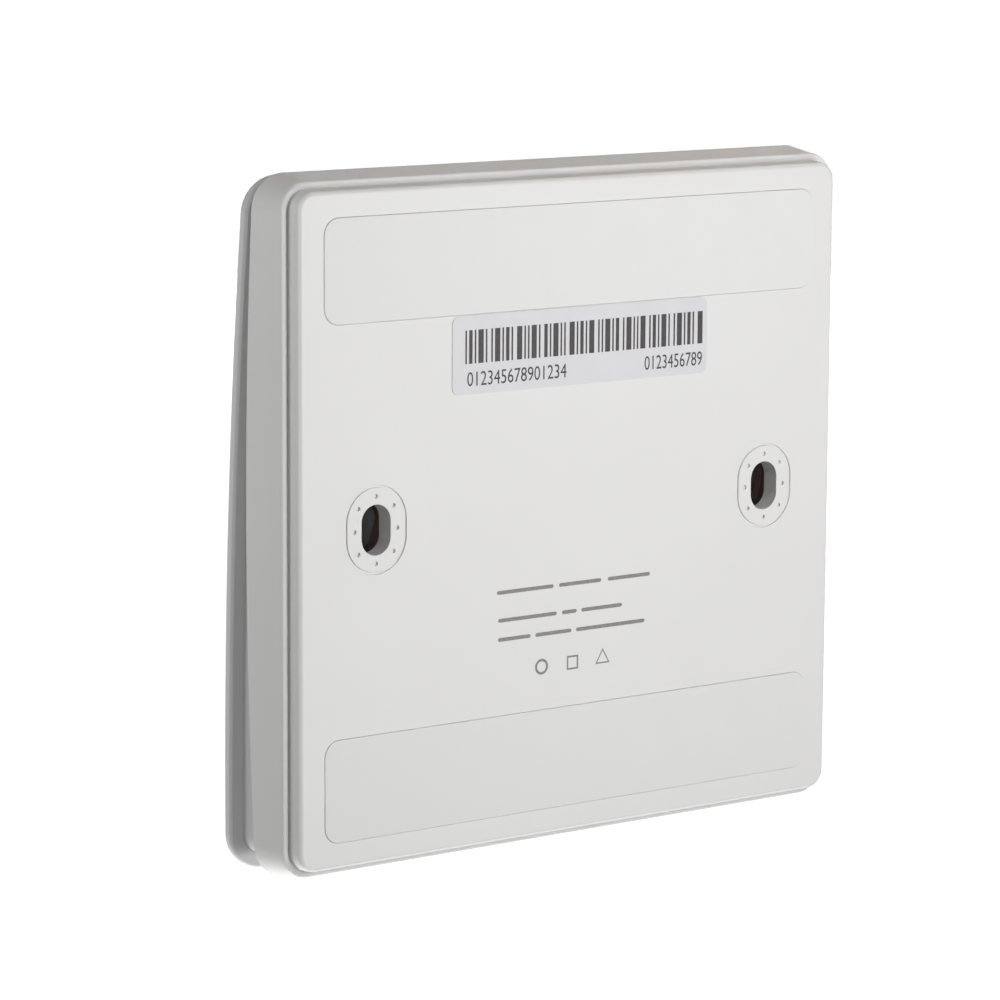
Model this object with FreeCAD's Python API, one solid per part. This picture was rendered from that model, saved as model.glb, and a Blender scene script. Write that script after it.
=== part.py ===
import FreeCAD, Part
import math
import os

# Battery-free wall switch: a moulded housing with a full-size rocker that drives a small generator.
# The rear face of the housing lies on the plane y = 0 and the front faces -Y, with +Z up.
# The origin is on the rear face, midway between the two wall-screw slots.
# Depths run forwards from the rear face, so a depth of d lies at y = -d. All sizes are in millimetres.

# Housing
housing_width = 86.0
wall_draft = 1.0
housing_corner = 3.4
side_wall = 1.5
cavity_chamfer = 1.0
floor_thick = 2.5
rim_depth = 8.8
crown_radius = 640.0
rim_edge_chamfer = 0.25

# Raised rear panel with its crease and rounded ledge
ledge_width = 0.84
panel_rise = 1.95
panel_draft = 0.24
panel_edge_chamfer = 0.35
crease_depth = 0.35
ledge_outer_radius = 0.38
ledge_inner_chamfer = 0.28

# Adhesive pads and sticker
pad_side_margin = 3.55
pad_edge_margin = 3.21
pad_height = 12.57
pad_corner = 2.0
pad_recess = 0.6
pad_proud = 0.15
pad_gap = 0.1
label_width = 39.25
label_height = 9.6
label_thick = 0.1
label_corner = 1.0
label_offset = -0.65
label_gap = 0.1

# Wall-screw slots, with their engraved oval and ring of dimples
slot_spacing = 60.0
slot_width = 4.2
slot_length = 6.2
oval_offset = 2.05
oval_line = 0.3
oval_depth = 0.2
dimple_offset = 1.0
dimple_radius = 0.28
dimple_depth = 0.3
dimple_angle = 35.0

# Rocker
rocker_side_overhang = 0.0
rocker_top_overhang = -0.8
rocker_bottom_overhang = 0.15
rocker_corner = 4.5
rocker_plate = 1.75
rocker_gap = 0.55
rocker_tilt = 3.15
rocker_front_radius = 0.7
rocker_rear_chamfer = 0.3
skirt_clearance = 0.35
skirt_wall = 1.2
skirt_corner = 2.4
skirt_floor_gap = 1.1
rib_thick = 1.0
rib_height = 0.8
rib_place = 26.0
rib_margin = 2.0

# Rocker pivots
pivot_drop = 2.3
pivot_setback = 2.4
pivot_radius = 1.25
pivot_engage = 1.3
pivot_boss_radius = 2.3
pivot_boss = 0.8
running_clearance = 0.05

# Chassis
chassis_clearance = 0.65
chassis_corner = 1.5
chassis_wall = 1.6
deck_setback = 1.0
deck_thick = 1.2
access_radius = 5.2
screw_inset = 5.8
cup_floor = 1.0
cup_wall = 0.8
boss_radius = 2.6
chassis_screw_head_radius = 2.0
chassis_screw_head = 1.1
chassis_screw_shank = 1.1
chassis_screw_length = 3.4
screw_clearance = 0.15
thread_clearance = 0.02
head_chamfer = 0.4
pilot_spare = 0.3

# Rocker hooks, which hold the rest position
hook_spacing = 40.0
hook_width = 4.0
hook_thick = 1.2
hook_height = 2.0
hook_barb = 0.8
hook_barb_height = 0.9
hook_stop_gap = 0.3
hook_slot_clearance = 0.6
hook_side_clearance = 0.8
hook_catch_clearance = 0.4

# Landing pads
bumper_spacing = 48.0
bumper_radius = 2.5
bumper_setback = 0.2
bumper_inset = 5.3

# Circuit board and its parts
board_side_gap = 1.05
board_height = 11.0
board_thick = 1.0
board_floor_gap = 1.0
board_top_gap = 2.2
board_corner = 1.0
board_screw_inset = 4.5
tall_part_gap = 0.3
board_boss_radius = 1.8
small_screw_head_radius = 1.4
small_screw_head = 0.7
small_screw_shank = 0.75
chip_side = 5.0
chip_thick = 0.9
chip_place = 3.0
capacitor_length = 7.3
capacitor_width = 4.3
capacitor_place = -12.5
diode_length = 1.7
diode_width = 1.25
diode_thick = 0.95
diode_pitch = 2.6
diode_place = -4.2
inductor_side = 4.0
inductor_corner = 0.8
inductor_place = 9.5
crystal_length = 3.2
crystal_width = 2.5
crystal_thick = 0.8
crystal_place = 14.5
antenna_radius = 0.4
antenna_foot_inset = 2.3
antenna_foot_height = 2.5
antenna_side_gap = 2.5
antenna_length = 18.0
antenna_foot_bend = 0.7
antenna_bend = 2.0

# Generator frame and swing arm
rail_spacing = 16.0
rail_width = 2.5
rail_front = 7.2
window_clearance = 0.7
window_corner = 1.0
generator_gap = 2.4
arm_pivot_rise = 2.5
arm_pin_radius = 1.0
arm_side_clearance = 1.8
contact_inset = 4.7
arm_thick = 1.4
arm_width = 6.0
paddle_rise = 2.2
paddle_width = 10.0
paddle_length = 6.0
hub_above = 2.4
hub_below = 2.0
hub_depth = 3.8
cheek_thick = 1.5
cheek_length = 4.5
foot_clearance = 0.3
foot_width = 8.0
foot_thick = 1.6

# Magnet, pole plates, core and coil
magnet_width = 9.0
magnet_length = 2.5
magnet_thick = 2.8
pole_thick = 0.8
pole_length = 5.6
core_width = 3.5
core_thick = 1.4
core_rest_gap = 0.25
core_tip_gap = 0.5
coil_gap = 1.6
coil_length = 13.0
flange_thick = 1.0
flange_width = 9.0
flange_depth = 4.6
bobbin_wall = 0.6
bobbin_clearance = 0.1
winding_width = 8.2
winding_depth = 3.9
winding_corner = 1.2
crossbar = 2.5
crossbar_rear_gap = 0.7
lead_radius = 0.25
lead_spacing = 7.0
lead_notch = 1.2
lead_landing = 1.0
lead_bend = 0.8

# Generator ears, and the leaf spring on the lower crossbar
ear_reach = 5.0
ear_height = 5.0
ear_thick = 1.2
ear_inset = 3.6
ear_screw_place = 2.8
deck_boss_radius = 1.9
deck_boss_height = 0.8
deck_boss_skin = 0.4
lower_bar_drop = 6.0
lower_bar_height = 3.0
lower_bar_thick = 0.8
spring_thick = 0.4
spring_width = 5.0
spring_base_width = 14.0
spring_screw_spacing = 10.4
spring_flat = 1.5
spring_tip_gap = 0.05
spring_tip_length = 1.5

# Small repeated pegs, holes and screws are prisms with this many sides, and thin wires with fewer
peg_sides = 10
wire_sides = 4

# How close two positions must be to count as the same when edges are picked
match = 0.001

# Values worked out from the sizes above
housing_half = housing_width / 2
rear_half = housing_half - wall_draft
rim_corner = housing_corner + wall_draft
inner_half = housing_half - side_wall
inner_corner = rim_corner - side_wall
panel_foot_half = rear_half - ledge_width
panel_foot_corner = housing_corner - ledge_width
panel_face_half = panel_foot_half - panel_draft
panel_face_corner = panel_foot_corner - panel_draft
panel_foot_depth = panel_rise + crease_depth
pad_half_width = panel_face_half - pad_side_margin
pad_outer_edge = panel_face_half - pad_edge_margin
pad_centre = pad_outer_edge - pad_height / 2
pad_inner_edge = pad_outer_edge - pad_height
label_centre = pad_inner_edge - pad_gap - label_gap - label_height / 2
slot_straight = slot_length - slot_width

rocker_half_width = housing_half + rocker_side_overhang
rocker_top = housing_half + rocker_top_overhang
rocker_bottom = -housing_half - rocker_bottom_overhang
rocker_half_height = (rocker_top - rocker_bottom) / 2
rocker_centre = (rocker_top + rocker_bottom) / 2
front_limit = rim_depth + rocker_gap + rocker_plate + rocker_front_radius
skirt_half = inner_half - skirt_clearance
skirt_inner_half = skirt_half - skirt_wall
skirt_inner_corner = skirt_corner - skirt_wall
skirt_rear = floor_thick + skirt_floor_gap

chassis_half = skirt_inner_half - chassis_clearance
chassis_inner_half = chassis_half - chassis_wall
deck_front = rim_depth - deck_setback
deck_rear = deck_front - deck_thick
screw_place = chassis_half - screw_inset
cup_rear = deck_rear - cup_floor
cup_inner_radius = chassis_screw_head_radius + screw_clearance
cup_radius = cup_inner_radius + cup_wall
pivot_height = chassis_half - pivot_drop
pivot_depth = deck_front - pivot_setback
pivot_bore = pivot_radius + running_clearance
bumper_place = chassis_half - bumper_inset

board_half_width = screw_place - cup_radius - board_side_gap
board_screw = board_half_width - board_screw_inset
board_rear = floor_thick + board_floor_gap
board_front = board_rear + board_thick
tall_part = deck_rear - tall_part_gap - board_front
board_top = chassis_inner_half - board_top_gap
board_centre = board_top - board_height / 2
board_bottom = board_top - board_height

rail_inner = rail_spacing / 2
rail_outer = rail_inner + rail_width
window_half = rail_outer + window_clearance
arm_pivot_depth = floor_thick + arm_pivot_rise
paddle_centre_depth = arm_pivot_depth + paddle_rise
contact_height = contact_inset - chassis_inner_half
paddle_tip = contact_height - paddle_length / 2
paddle_root = contact_height + paddle_length / 2
crossbar_top = board_bottom - generator_gap
bobbin_top = crossbar_top - crossbar
winding_top = bobbin_top - flange_thick
winding_bottom = winding_top - coil_length
bobbin_bottom = winding_bottom - flange_thick
pole_top = bobbin_bottom - coil_gap
hub_top = pole_top - pole_length
arm_pivot_height = hub_top - hub_above
hub_bottom = arm_pivot_height - hub_below
hub_half_width = rail_inner - arm_side_clearance
magnet_top = hub_top + magnet_length
core_front = arm_pivot_depth + magnet_thick / 2 - core_rest_gap
core_depth = core_front - core_thick / 2
core_tip = magnet_top + core_tip_gap
lower_bar_top = arm_pivot_height - lower_bar_drop
lower_bar_bottom = lower_bar_top - lower_bar_height
lower_bar_front = floor_thick + lower_bar_thick
window_top = crossbar_top + window_clearance
window_bottom = paddle_tip - window_clearance
ear_front = deck_rear
ear_rear = ear_front - ear_thick
ear_heights = (crossbar_top - ear_inset - ear_height / 2, lower_bar_bottom + ear_height / 2)
ear_screw = rail_outer + ear_screw_place
thread_radius = small_screw_shank + thread_clearance


def at(x, depth, z):
    return FreeCAD.Vector(x, -depth, z)


def block(x0, x1, depth0, depth1, z0, z1):
    # box between two x values, two depths and two heights
    return Part.makeBox(x1 - x0, depth1 - depth0, z1 - z0, at(x0, depth1, z0))


def peg(radius, x, z, depth0, depth1):
    # many-sided peg along the depth direction, with its corners on the radius
    turns = [2 * math.pi * i / peg_sides for i in range(peg_sides)]
    corners = [at(x + radius * math.cos(t), depth0, z + radius * math.sin(t)) for t in turns]
    face = Part.Face(Part.makePolygon(corners + corners[:1]))
    return face.extrude(FreeCAD.Vector(0, depth0 - depth1, 0))


def cross_rod(radius, x0, x1, depth, z):
    # round rod along X
    return Part.makeCylinder(radius, x1 - x0, at(x0, depth, z), FreeCAD.Vector(1, 0, 0))


def outline(half_x, half_z, corner, depth, x=0.0, z=0.0):
    # rounded rectangle at one depth: four straight sides joined by quarter arcs
    diagonal = corner * math.sqrt(0.5)
    edges = []
    for turn in range(4):
        angle = turn * math.pi / 2
        along = (math.cos(angle), math.sin(angle))
        across = (-along[1], along[0])
        reach = half_x if turn % 2 == 0 else half_z
        width = half_z if turn % 2 == 0 else half_x
        ahead, aside = reach - corner, width - corner

        def spot(forward, sideways):
            return at(
                x + along[0] * forward + across[0] * sideways,
                depth,
                z + along[1] * forward + across[1] * sideways,
            )

        if aside > match:
            edges.append(Part.LineSegment(spot(reach, -aside), spot(reach, aside)).toShape())
        middle = spot(ahead + diagonal, aside + diagonal)
        edges.append(Part.Arc(spot(reach, aside), middle, spot(ahead, width)).toShape())
    return Part.Wire(edges)


def slab(half_x, half_z, corner, depth0, depth1, x=0.0, z=0.0):
    # rounded rectangle carried from one depth to another
    face = Part.Face(outline(half_x, half_z, corner, depth0, x, z))
    return face.extrude(FreeCAD.Vector(0, depth0 - depth1, 0))


def ring(outer, outer_corner, inner, inner_corner, depth0, depth1):
    # square frame with rounded corners
    return slab(outer, outer, outer_corner, depth0, depth1).cut(
        slab(inner, inner, inner_corner, depth0, depth1)
    )


def behind_crown(offset):
    # everything behind the crowned front surface, moved forwards by the offset
    length = 2 * housing_width
    return Part.makeCylinder(
        crown_radius + offset,
        length,
        at(-length / 2, rim_depth - crown_radius, 0),
        FreeCAD.Vector(1, 0, 0),
    )


def side_profile(points, half_width):
    # closed (height, depth) outline carried across the width
    corners = [at(-half_width, depth, height) for height, depth in points]
    face = Part.Face(Part.makePolygon(corners + corners[:1]))
    return face.extrude(FreeCAD.Vector(2 * half_width, 0, 0))


def bent_wire(points, bend_radii, radius):
    # many-sided wire along straight runs joined by tangent arcs
    edges = []
    start = points[0]
    for before, corner, after, bend in zip(points, points[1:], points[2:], bend_radii):
        back = (before - corner).normalize()
        ahead = (after - corner).normalize()
        half_turn = (math.pi - back.getAngle(ahead)) / 2
        tangent = bend * math.tan(half_turn)
        inward = (back + ahead).normalize()
        middle = corner + inward * (bend / math.cos(half_turn) - bend)
        edges.append(Part.LineSegment(start, corner + back * tangent).toShape())
        start = corner + ahead * tangent
        edges.append(Part.Arc(corner + back * tangent, middle, start).toShape())
    edges.append(Part.LineSegment(start, points[-1]).toShape())
    along = (points[1] - points[0]).normalize()
    aside = along.cross(points[2] - points[1]).normalize()
    upright = aside.cross(along)
    turns = [2 * math.pi * i / wire_sides for i in range(wire_sides)]
    corners = [points[0] + (aside * math.cos(t) + upright * math.sin(t)) * radius for t in turns]
    section = Part.makePolygon(corners + corners[:1])
    return Part.Wire(edges).makePipeShell([section], True, False)


def screw(x, z, seat, tip, head, head_radius, shank):
    # screw along the depth, its chamfered head on the far side of the seat from the tip
    forward = 1 if tip < seat else -1
    low, high = sorted((seat, seat + forward * head))
    cap = peg(head_radius, x, z, low, high)
    top = -seat - forward * head
    rim = [e for e in cap.Edges if abs(e.CenterOfMass.y - top) < match]
    cap = cap.makeChamfer(head * head_chamfer, rim)
    low, high = sorted((seat, tip))
    return cap.fuse(peg(shank, x, z, low, high))


def flat_edges(shape, depth, half):
    # edges that lie at one depth on the outline of the given half width
    found = []
    for edge in shape.Edges:
        box = edge.BoundBox
        reach = max(abs(box.XMin), abs(box.XMax), abs(box.ZMin), abs(box.ZMax))
        level = max(abs(box.YMin + depth), abs(box.YMax + depth)) < match
        if level and abs(reach - half) < match:
            found.append(edge)
    return found


def crown_edges(shape, offset):
    # edges that lie on the crowned surface moved forwards by the offset
    found = []
    for edge in shape.Edges:
        point = edge.valueAt((edge.FirstParameter + edge.LastParameter) / 2)
        radius = math.hypot(point.y + rim_depth - crown_radius, point.z)
        if abs(radius - crown_radius - offset) < match:
            found.append(edge)
    return found


def quarters(x, z):
    # the four places mirrored about the centre
    return [(i * x, j * z) for i in (-1, 1) for j in (-1, 1)]


def both_sides(x):
    return (-x, x)


def slot_prism(offset, depth0, depth1, x):
    # upright round-ended slot, grown by the offset
    half = slot_width / 2 + offset
    return slab(half, half + slot_straight / 2, half, depth0, depth1, x)


def dimple_places(x):
    # eight places on a round-ended track about a slot
    radius = slot_width / 2 + dimple_offset
    half = slot_straight / 2
    angle = math.radians(dimple_angle)
    slant = (radius * math.cos(angle), half + radius * math.sin(angle))
    places = [(x, half + radius), (x, -half - radius), (x - radius, 0.0), (x + radius, 0.0)]
    return places + [(x + i, j) for i, j in quarters(*slant)]


def base_housing():
    rear = outline(rear_half, rear_half, housing_corner, panel_rise)
    front = outline(housing_half, housing_half, rim_corner, rim_depth)
    shell = Part.makeLoft([rear, front], True, True)
    shell = shell.makeFillet(ledge_outer_radius, flat_edges(shell, panel_rise, rear_half))
    shell = shell.cut(
        slab(panel_foot_half, panel_foot_half, panel_foot_corner, panel_rise, panel_foot_depth)
    )
    shell = shell.makeChamfer(ledge_inner_chamfer, flat_edges(shell, panel_rise, panel_foot_half))
    foot = outline(panel_foot_half, panel_foot_half, panel_foot_corner, panel_foot_depth)
    face = outline(panel_face_half, panel_face_half, panel_face_corner, 0.0)
    panel = Part.makeLoft([foot, face], True, True)
    panel = panel.makeChamfer(panel_edge_chamfer, flat_edges(panel, 0.0, panel_face_half))
    body = shell.fuse(panel).common(behind_crown(0.0))
    body = body.makeChamfer(rim_edge_chamfer, crown_edges(body, 0.0))
    cavity = slab(inner_half, inner_half, inner_corner, floor_thick, rim_depth)
    cavity = cavity.makeChamfer(cavity_chamfer, flat_edges(cavity, floor_thick, inner_half))
    body = body.cut(cavity)
    for x, z in quarters(screw_place, screw_place):
        body = body.fuse(peg(boss_radius, x, z, floor_thick, cup_rear))
    cuts = []
    for x, z in quarters(screw_place, screw_place):
        tip = deck_rear - chassis_screw_length - pilot_spare
        cuts.append(peg(chassis_screw_shank + thread_clearance, x, z, tip, cup_rear))
    for z in both_sides(pad_centre):
        half_x, half_z = pad_half_width + pad_gap, pad_height / 2 + pad_gap
        cuts.append(slab(half_x, half_z, pad_corner + pad_gap, 0.0, pad_recess, 0.0, z))
    for x in both_sides(slot_spacing / 2):
        cuts.append(slot_prism(0.0, 0.0, floor_thick, x))
        line = slot_prism(oval_offset + oval_line, 0.0, oval_depth, x)
        cuts.append(line.cut(slot_prism(oval_offset, 0.0, oval_depth, x)))
        for place_x, place_z in dimple_places(x):
            cuts.append(peg(dimple_radius, place_x, place_z, 0.0, dimple_depth))
    return body.cut(Part.makeCompound(cuts))


def adhesive_pad(side):
    z = side * pad_centre
    return slab(pad_half_width, pad_height / 2, pad_corner, -pad_proud, pad_recess, 0.0, z)


def code_label():
    half_x, half_z = label_width / 2, label_height / 2
    return slab(half_x, half_z, label_corner, -label_thick, 0.0, label_offset, label_centre)


def rocker_ribs():
    # shallow ribs that follow the crown on the rear of the plate
    reach = skirt_inner_half + skirt_wall / 2
    bars = []
    for place in both_sides(rib_place):
        low, high = place - rib_thick / 2, place + rib_thick / 2
        end = rib_place + rib_margin
        bars.append(block(-reach, reach, 0.0, front_limit, low, high))
        bars.append(block(low, high, 0.0, front_limit, -end, end))
    grid = bars[0].multiFuse(bars[1:])
    layer = behind_crown(rocker_gap + rocker_plate / 2).cut(behind_crown(rocker_gap - rib_height))
    return grid.common(layer)


def rocker_shell():
    # crowned plate with its skirt and ribs, in the closed position
    face = rocker_gap + rocker_plate
    plate = slab(
        rocker_half_width, rocker_half_height, rocker_corner, panel_rise, front_limit, 0.0, rocker_centre
    )
    plate = plate.common(behind_crown(face)).cut(behind_crown(rocker_gap))
    plate = plate.makeFillet(rocker_front_radius, crown_edges(plate, face))
    plate = plate.makeChamfer(rocker_rear_chamfer, crown_edges(plate, rocker_gap))
    skirt = ring(skirt_half, skirt_corner, skirt_inner_half, skirt_inner_corner, skirt_rear, front_limit)
    skirt = skirt.common(behind_crown(rocker_gap + rocker_plate / 2))
    return plate.fuse(skirt).fuse(rocker_ribs())


def rocker_pivots():
    # two pegs that point inwards from the skirt into the chassis
    inner = chassis_half - pivot_engage
    outer = skirt_inner_half + skirt_wall / 2
    right = cross_rod(pivot_radius, inner, outer, pivot_depth, pivot_height)
    left = cross_rod(pivot_radius, -outer, -inner, pivot_depth, pivot_height)
    return [right, left]


def turned_to_rest(shape):
    # swings a closed rocker open about its pivots
    turned = shape.copy()
    turned.rotate(at(0, pivot_depth, pivot_height), FreeCAD.Vector(1, 0, 0), -rocker_tilt)
    return turned


def plate_depth_at_rest(z):
    # depth of the rocker plate's middle at a height, in the rest position
    crown = rim_depth - z * z / (2 * crown_radius)
    return crown + rocker_gap + rocker_plate / 2 + math.tan(math.radians(rocker_tilt)) * (pivot_height - z)


def rocker_hook(x):
    tip = deck_rear - hook_stop_gap - hook_barb_height
    low, high = hook_height - hook_thick / 2, hook_height + hook_thick / 2
    left, right = x - hook_width / 2, x + hook_width / 2
    stem = block(left, right, tip, plate_depth_at_rest(hook_height), low, high)
    barb_top = high + hook_catch_clearance + hook_barb
    barb = block(left, right, tip, tip + hook_barb_height, high, barb_top)
    return stem.fuse(barb)


def rocker_foot():
    # plunger that pushes the generator's paddle
    tip = paddle_centre_depth + arm_thick / 2 + foot_clearance
    z0, z1 = contact_height - foot_thick / 2, contact_height + foot_thick / 2
    return block(-foot_width / 2, foot_width / 2, tip, plate_depth_at_rest(contact_height), z0, z1)


def rocker_cap():
    hooks = [rocker_hook(x) for x in both_sides(hook_spacing / 2)]
    return turned_to_rest(rocker_shell()).multiFuse(rocker_pivots() + hooks + [rocker_foot()])


def chassis_frame():
    body = slab(chassis_half, chassis_half, chassis_corner, floor_thick, deck_front)
    inner = chassis_inner_half
    body = body.cut(block(-inner, inner, floor_thick, deck_rear, -inner, inner))
    added = []
    boss = inner - pivot_boss
    added.append(cross_rod(pivot_boss_radius, boss, chassis_half, pivot_depth, pivot_height))
    added.append(cross_rod(pivot_boss_radius, -chassis_half, -boss, pivot_depth, pivot_height))
    for x, z in quarters(screw_place, screw_place):
        added.append(peg(cup_radius, x, z, cup_rear, deck_front))
    for x in both_sides(board_screw):
        added.append(peg(board_boss_radius, x, board_centre, board_front, deck_front))
    for x in both_sides(ear_screw):
        for z in ear_heights:
            added.append(peg(deck_boss_radius, x, z, deck_rear, deck_front + deck_boss_height))
    body = body.multiFuse(added)
    body = body.common(slab(chassis_half, chassis_half, chassis_corner, floor_thick, rim_depth))
    return body.cut(Part.makeCompound(chassis_cuts()))


def chassis_cuts():
    cuts = []
    window_centre = (window_top + window_bottom) / 2
    window_half_height = (window_top - window_bottom) / 2
    cuts.append(
        slab(window_half, window_half_height, window_corner, deck_rear, rim_depth, 0.0, window_centre)
    )
    for x in both_sides(slot_spacing / 2):
        cuts.append(peg(access_radius, x, 0.0, deck_rear, deck_front))
    for x, z in quarters(screw_place, screw_place):
        cuts.append(peg(cup_inner_radius, x, z, deck_rear, deck_front))
        cuts.append(peg(chassis_screw_shank + screw_clearance, x, z, cup_rear, deck_rear))
    for x in both_sides(hook_spacing / 2):
        half = hook_width / 2 + hook_slot_clearance
        low = hook_height - hook_thick / 2 - hook_side_clearance
        high = hook_height + hook_thick / 2 + hook_catch_clearance
        cuts.append(block(x - half, x + half, deck_rear, deck_front, low, high))
    for x in both_sides(board_screw):
        cuts.append(peg(thread_radius, x, board_centre, board_front, deck_rear))
    for x in both_sides(ear_screw):
        for z in ear_heights:
            cuts.append(peg(thread_radius, x, z, deck_rear, deck_front + deck_boss_height - deck_boss_skin))
    cuts.append(cross_rod(pivot_bore, -chassis_half, chassis_half, pivot_depth, pivot_height))
    return cuts


def chassis_screws():
    tip = deck_rear - chassis_screw_length
    size = (chassis_screw_head, chassis_screw_head_radius, chassis_screw_shank)
    return [screw(x, z, deck_rear, tip, *size) for x, z in quarters(screw_place, screw_place)]


def bumper_pads():
    z = -bumper_place
    return [
        peg(bumper_radius, x, z, deck_front, rim_depth - bumper_setback)
        for x in both_sides(bumper_spacing / 2)
    ]


def circuit_board():
    half_height = board_height / 2
    board = slab(board_half_width, half_height, board_corner, board_rear, board_front, 0.0, board_centre)
    holes = [
        peg(small_screw_shank + screw_clearance, x, board_centre, board_rear, board_front)
        for x in both_sides(board_screw)
    ]
    return board.cut(Part.makeCompound(holes))


def board_screws():
    tip = deck_rear - pilot_spare
    size = (small_screw_head, small_screw_head_radius, small_screw_shank)
    return [screw(x, board_centre, board_rear, tip, *size) for x in both_sides(board_screw)]


def on_board(x, length, width, thick):
    # flat part on the front of the board
    z0, z1 = board_centre - width / 2, board_centre + width / 2
    return block(x - length / 2, x + length / 2, board_front, board_front + thick, z0, z1)


def radio_chip():
    return on_board(chip_place, chip_side, chip_side, chip_thick)


def storage_capacitor():
    return on_board(capacitor_place, capacitor_length, capacitor_width, tall_part)


def rectifier_diodes():
    diodes = []
    for i in both_sides(diode_pitch / 2):
        for j in both_sides(diode_pitch / 2):
            diode = on_board(diode_place + i, diode_length, diode_width, diode_thick)
            diode.translate(FreeCAD.Vector(0, 0, j))
            diodes.append(diode)
    return diodes


def power_inductor():
    half = inductor_side / 2
    top = board_front + tall_part
    return slab(half, half, inductor_corner, board_front, top, inductor_place, board_centre)


def timing_crystal():
    return on_board(crystal_place, crystal_length, crystal_width, crystal_thick)


def wire_antenna():
    # wire that rises from the board, runs to the side and down beside the chassis wall
    foot = board_half_width - antenna_foot_inset
    side = chassis_inner_half - antenna_side_gap
    z = board_bottom + antenna_foot_height
    depth = (board_front + deck_rear) / 2
    points = [at(foot, board_front, z), at(foot, depth, z), at(side, depth, z)]
    points.append(at(side, depth, z - antenna_length))
    return bent_wire(points, (antenna_foot_bend, antenna_bend), antenna_radius)


def generator_frame():
    pieces = []
    for side in (-1, 1):
        x0, x1 = sorted((side * rail_inner, side * rail_outer))
        pieces.append(block(x0, x1, floor_thick, rail_front, lower_bar_bottom, crossbar_top))
        x0, x1 = sorted((side * rail_inner, side * (rail_outer + ear_reach)))
        for z in ear_heights:
            pieces.append(block(x0, x1, ear_rear, ear_front, z - ear_height / 2, z + ear_height / 2))
    rear = floor_thick + crossbar_rear_gap
    pieces.append(block(-rail_outer, rail_outer, rear, rail_front, bobbin_top, crossbar_top))
    pieces.append(
        block(-rail_outer, rail_outer, floor_thick, lower_bar_front, lower_bar_bottom, lower_bar_top)
    )
    body = pieces[0].multiFuse(pieces[1:])
    cuts = [core_bar(bobbin_clearance, bobbin_top, crossbar_top)]
    pin_bore = arm_pin_radius + thread_clearance
    cuts.append(cross_rod(pin_bore, -rail_outer, rail_outer, arm_pivot_depth, arm_pivot_height))
    for x in both_sides(lead_spacing / 2):
        half = lead_notch / 2
        notch = block(x - half, x + half, core_depth - half, rail_front, bobbin_top, crossbar_top)
        cuts.append(notch)
    for x in both_sides(ear_screw):
        for z in ear_heights:
            cuts.append(peg(small_screw_shank + screw_clearance, x, z, ear_rear, ear_front))
    for x in both_sides(spring_screw_spacing / 2):
        middle = (lower_bar_top + lower_bar_bottom) / 2
        cuts.append(peg(thread_radius, x, middle, floor_thick, lower_bar_front))
    return body.cut(Part.makeCompound(cuts))


def generator_screws():
    tip = deck_front + deck_boss_height - deck_boss_skin - pilot_spare
    size = (small_screw_head, small_screw_head_radius, small_screw_shank)
    return [screw(x, z, ear_rear, tip, *size) for x in both_sides(ear_screw) for z in ear_heights]


def core_bar(clearance, z0, z1):
    half_x, half_depth = core_width / 2 + clearance, core_thick / 2 + clearance
    return block(-half_x, half_x, core_depth - half_depth, core_depth + half_depth, z0, z1)


def iron_core():
    return core_bar(0.0, core_tip, crossbar_top)


def coil_bobbin():
    tube = core_bar(bobbin_clearance + bobbin_wall, bobbin_bottom, bobbin_top)
    half_x, half_depth = flange_width / 2, flange_depth / 2
    for z in (bobbin_bottom, winding_top):
        flange = block(
            -half_x, half_x, core_depth - half_depth, core_depth + half_depth, z, z + flange_thick
        )
        tube = tube.fuse(flange)
    return tube.cut(core_bar(bobbin_clearance, bobbin_bottom, bobbin_top))


def coil_winding():
    half_x, half_depth = winding_width / 2, winding_depth / 2
    rear, front = core_depth - half_depth, core_depth + half_depth
    pack = block(-half_x, half_x, rear, front, winding_bottom, winding_top)
    upright = [e for e in pack.Edges if abs(e.BoundBox.ZLength - coil_length) < match]
    pack = pack.makeFillet(winding_corner, upright)
    return pack.cut(core_bar(bobbin_clearance + bobbin_wall, winding_bottom, winding_top))


def coil_leads():
    # wires from the top flange of the bobbin to the board
    leads = []
    z = board_bottom + lead_landing
    for x in both_sides(lead_spacing / 2):
        points = [at(x, core_depth, bobbin_top), at(x, core_depth, z), at(x, board_front, z)]
        leads.append(bent_wire(points, (lead_bend,), lead_radius))
    return leads


def arm_pivot_pin():
    return cross_rod(arm_pin_radius, -rail_outer, rail_outer, arm_pivot_depth, arm_pivot_height)


def swing_arm():
    half_depth = hub_depth / 2
    hub = block(
        -hub_half_width,
        hub_half_width,
        arm_pivot_depth - half_depth,
        arm_pivot_depth + half_depth,
        hub_bottom,
        hub_top,
    )
    half = arm_thick / 2
    lever = side_profile(
        [
            (hub_bottom + half, arm_pivot_depth - half),
            (paddle_root, paddle_centre_depth - half),
            (paddle_root, paddle_centre_depth + half),
            (hub_bottom + half, arm_pivot_depth + half),
        ],
        arm_width / 2,
    )
    paddle = block(
        -paddle_width / 2,
        paddle_width / 2,
        paddle_centre_depth - half,
        paddle_centre_depth + half,
        paddle_tip,
        paddle_root,
    )
    cheeks = []
    for side in (-1, 1):
        x0, x1 = sorted((side * magnet_width / 2, side * (magnet_width / 2 + cheek_thick)))
        cheeks.append(
            block(
                x0,
                x1,
                arm_pivot_depth - half_depth,
                arm_pivot_depth + half_depth,
                hub_bottom,
                hub_top + cheek_length,
            )
        )
    body = hub.multiFuse([lever, paddle] + cheeks)
    bore = arm_pin_radius + running_clearance
    return body.cut(cross_rod(bore, -rail_inner, rail_inner, arm_pivot_depth, arm_pivot_height))


def magnet():
    half_x, half_depth = magnet_width / 2, magnet_thick / 2
    rear, front = arm_pivot_depth - half_depth, arm_pivot_depth + half_depth
    return block(-half_x, half_x, rear, front, hub_top, magnet_top)


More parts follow.
